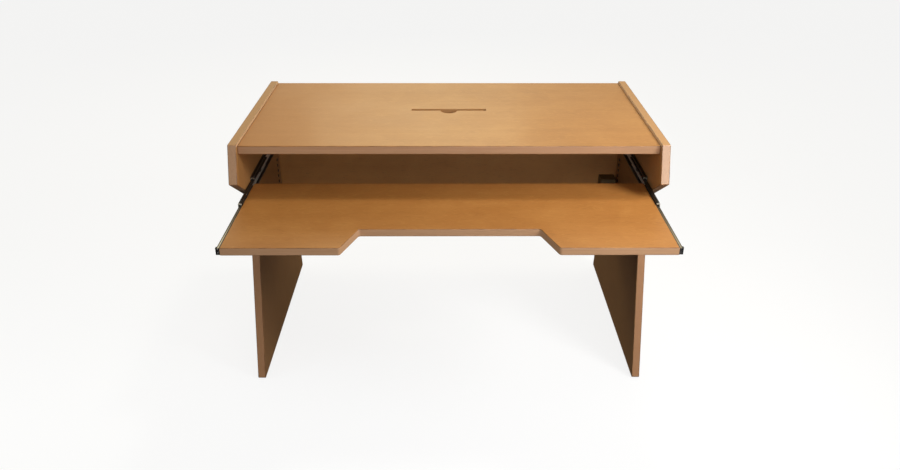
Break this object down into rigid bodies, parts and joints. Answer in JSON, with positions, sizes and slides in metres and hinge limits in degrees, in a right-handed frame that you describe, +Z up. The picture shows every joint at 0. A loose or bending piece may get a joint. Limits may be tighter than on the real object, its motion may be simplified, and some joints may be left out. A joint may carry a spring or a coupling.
{
  "type": "studio desk",
  "caption": "Studio desk with leaning board gables, slotted top, back panel and a keyboard tray with a trapezoid cut-out that pulls right out on ball slides",
  "frame": {"origin": "on the floor under the middle of the desk's box with the tray pulled out", "axes": "+X to the player's right, +Y to the back, +Z up"},
  "size_m": [1.25, 1.0704, 0.814],
  "materials": {
    "gable_board": "satin stained board",
    "top_board": "satin stained board",
    "back_board": "satin stained board",
    "tray_board": "satin stained board",
    "slide_black": "black coated steel",
    "slide_plated": "plated steel",
    "cage_steel": "plain steel strip",
    "ball_steel": "polished steel",
    "cap_nylon": "moulded nylon",
    "cap_black": "moulded",
    "zinc": "zinc plated",
    "beech": "fluted beech",
    "glide_plastic": "moulded",
    "box_plastic": "moulded",
    "bumper_rubber": "moulded"
  },
  "bodies": {
    "frame": {"left_gable": "gable_board", "right_gable": "gable_board", "top_panel": "top_board", "back_panel": "back_board", "top_cam_locks": "zinc", "top_cam_bolts": "zinc", "top_dowels": "beech", "back_cam_locks": "zinc", "back_cam_bolts": "zinc", "back_dowels": "beech", "rail_dowels": "beech", "cabinet_screws": "zinc", "pin_sleeves": "cap_black", "glides": "glide_plastic", "cable_box_body": "box_plastic", "cable_box_cover": "box_plastic", "cable_box_cover_screws": "zinc", "cable_box_mount_screws": "zinc", "left_cabinet_member": "slide_black", "left_rear_bumper": "bumper_rubber", "right_cabinet_member": "slide_black", "right_rear_bumper": "bumper_rubber"},
    "tray": {"keyboard_tray": "tray_board", "tray_screws": "zinc", "left_tray_member": "slide_plated", "left_front_cap": "cap_black", "right_tray_member": "slide_plated", "right_front_cap": "cap_black"},
    "left_middle": {"left_middle_member": "slide_black", "left_end_cap": "cap_nylon"},
    "left_outer_cage": {"left_outer_cage": "cage_steel", "left_outer_balls": "ball_steel"},
    "left_inner_cage": {"left_inner_cage": "cage_steel", "left_inner_balls": "ball_steel"},
    "right_middle": {"right_middle_member": "slide_black", "right_end_cap": "cap_nylon"},
    "right_outer_cage": {"right_outer_cage": "cage_steel", "right_outer_balls": "ball_steel"},
    "right_inner_cage": {"right_inner_cage": "cage_steel", "right_inner_balls": "ball_steel"}
  },
  "joints": [
    {"name": "tray_slide", "type": "slide", "parent": "frame", "child": "tray", "axis": [0, 1, 0], "range_m": [0, 0.4]},
    {"name": "left_middle_slide", "type": "slide", "parent": "frame", "child": "left_middle", "axis": [0, 1, 0], "range_m": [0, 0.2]},
    {"name": "left_outer_cage_slide", "type": "slide", "parent": "frame", "child": "left_outer_cage", "axis": [0, 1, 0], "range_m": [0, 0.1]},
    {"name": "left_inner_cage_slide", "type": "slide", "parent": "frame", "child": "left_inner_cage", "axis": [0, 1, 0], "range_m": [0, 0.3]},
    {"name": "right_middle_slide", "type": "slide", "parent": "frame", "child": "right_middle", "axis": [0, 1, 0], "range_m": [0, 0.2]},
    {"name": "right_outer_cage_slide", "type": "slide", "parent": "frame", "child": "right_outer_cage", "axis": [0, 1, 0], "range_m": [0, 0.1]},
    {"name": "right_inner_cage_slide", "type": "slide", "parent": "frame", "child": "right_inner_cage", "axis": [0, 1, 0], "range_m": [0, 0.3]}
  ],
  "couplings": [
    {"joint": "left_middle_slide", "follows": "tray_slide", "ratio": 0.5},
    {"joint": "left_outer_cage_slide", "follows": "tray_slide", "ratio": 0.25},
    {"joint": "left_inner_cage_slide", "follows": "tray_slide", "ratio": 0.75},
    {"joint": "right_middle_slide", "follows": "tray_slide", "ratio": 0.5},
    {"joint": "right_outer_cage_slide", "follows": "tray_slide", "ratio": 0.25},
    {"joint": "right_inner_cage_slide", "follows": "tray_slide", "ratio": 0.75}
  ]
}
